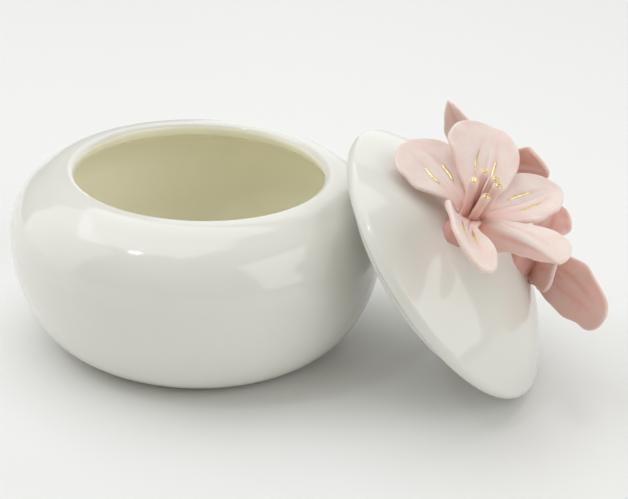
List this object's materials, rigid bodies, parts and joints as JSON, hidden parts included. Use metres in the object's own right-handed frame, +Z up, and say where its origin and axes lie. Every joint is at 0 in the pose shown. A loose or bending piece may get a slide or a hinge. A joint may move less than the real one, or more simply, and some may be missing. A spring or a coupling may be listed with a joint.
{
  "type": "powder jar",
  "caption": "Round porcelain powder jar with a domed lid that carries a bouquet of hand-modelled lilies; the lid leans on the jar and swings over to close it.",
  "frame": {"origin": "the jar's own axis, at the underside of its foot", "axes": "+Z up along the jar's axis; the lid leans on the +X side, its flowers facing +X and a little -Y, towards the front"},
  "size_m": [0.1663, 0.1184, 0.077],
  "materials": {
    "jar_glaze": "clear glaze on cream-white porcelain",
    "lid_glaze": "clear glaze on cream-white porcelain",
    "petal_clay": "unglazed bisque porcelain, tinted pale pink",
    "heart_clay": "unglazed bisque porcelain, deeper pink",
    "stamen_clay": "unglazed bisque porcelain, tinted pale pink",
    "gold_lustre": "fired gold lustre over clay"
  },
  "bodies": {
    "jar": {"jar_bowl": "jar_glaze"},
    "bouquet": {"bouquet_core": "heart_clay"},
    "lid": {"far_flower_base": "heart_clay", "far_flower_gold_tips": "gold_lustre", "far_flower_petal_1": "petal_clay", "far_flower_petal_2": "petal_clay", "far_flower_petal_3": "petal_clay", "far_flower_petal_4": "petal_clay", "far_flower_petal_5": "petal_clay", "far_flower_stamen_1": "stamen_clay", "far_flower_stamen_2": "stamen_clay", "far_flower_stamen_3": "stamen_clay", "far_flower_stamen_4": "stamen_clay", "far_flower_stamen_5": "stamen_clay", "lid_shell": "lid_glaze", "low_flower_base": "heart_clay", "low_flower_gold_tips": "gold_lustre", "low_flower_petal_1": "petal_clay", "low_flower_petal_2": "petal_clay", "low_flower_petal_3": "petal_clay", "low_flower_petal_4": "petal_clay", "low_flower_petal_5": "petal_clay", "low_flower_stamen_1": "stamen_clay", "low_flower_stamen_2": "stamen_clay", "low_flower_stamen_3": "stamen_clay", "low_flower_stamen_4": "stamen_clay", "low_flower_stamen_5": "stamen_clay", "near_flower_base": "heart_clay", "near_flower_gold_tips": "gold_lustre", "near_flower_petal_1": "petal_clay", "near_flower_petal_2": "petal_clay", "near_flower_petal_3": "petal_clay", "near_flower_petal_4": "petal_clay", "near_flower_petal_5": "petal_clay", "near_flower_stamen_1": "stamen_clay", "near_flower_stamen_2": "stamen_clay", "near_flower_stamen_3": "stamen_clay", "near_flower_stamen_4": "stamen_clay", "near_flower_stamen_5": "stamen_clay"}
  },
  "joints": [
    {"name": "lid_carry", "type": "hinge", "parent": "jar", "child": "bouquet", "pos_m": [0.04661, -0.00923, 0.07013], "axis": [-0.1942, -0.981, 0], "range_deg": [0, 200.47]},
    {"name": "lid_level", "type": "hinge", "parent": "bouquet", "child": "lid", "pos_m": [0.08821, -0.01747, 0.04787], "axis": [-0.1942, -0.981, 0], "range_deg": [-152.52, 0]}
  ],
  "couplings": [
    {"joint": "lid_level", "follows": "lid_carry", "ratio": -0.76056}
  ]
}
